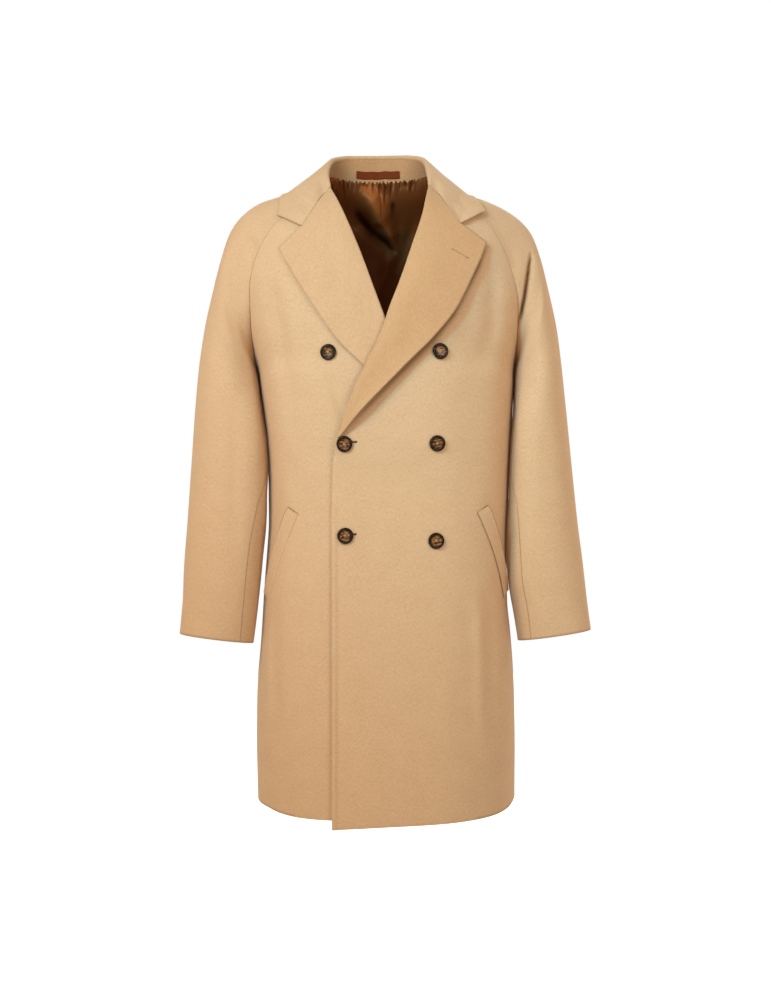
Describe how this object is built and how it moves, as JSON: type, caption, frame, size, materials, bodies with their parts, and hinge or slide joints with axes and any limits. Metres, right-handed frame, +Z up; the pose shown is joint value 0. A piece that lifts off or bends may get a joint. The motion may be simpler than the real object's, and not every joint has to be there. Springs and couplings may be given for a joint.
{
  "type": "double-breasted coat",
  "caption": "Long double-breasted raglan overcoat in camel wool with notch lapels, slanted welt pockets and a gathered satin back lining, hollow as worn.",
  "frame": {"origin": "between the shoulders, level with the base of the neck, where the wearer carries the coat", "axes": "+Z up along the coat, -Y to the front, +X to the wearer's left"},
  "size_m": [0.65, 0.3104, 1.0687],
  "materials": {
    "camel_wool": "brushed camel wool, matt, short nap",
    "lining_satin": "dark brown satin lining",
    "label_tape": "plain brown woven tape",
    "dark_horn": "polished dark brown horn"
  },
  "bodies": {
    "root": {"front_left": "camel_wool", "front_right": "camel_wool", "lapel_left": "camel_wool", "lapel_right": "camel_wool", "back": "camel_wool", "sleeve_front_left": "camel_wool", "sleeve_front_right": "camel_wool", "sleeve_back_left": "camel_wool", "sleeve_back_right": "camel_wool", "collar_fall": "camel_wool", "collar_stand": "camel_wool", "welt_left": "camel_wool", "welt_right": "camel_wool", "lining_back": "lining_satin", "label": "label_tape", "button_top_right": "dark_horn", "button_top_left": "dark_horn", "button_middle_right": "dark_horn", "button_middle_left": "dark_horn", "button_low_right": "dark_horn", "button_low_left": "dark_horn"}
  },
  "joints": []
}
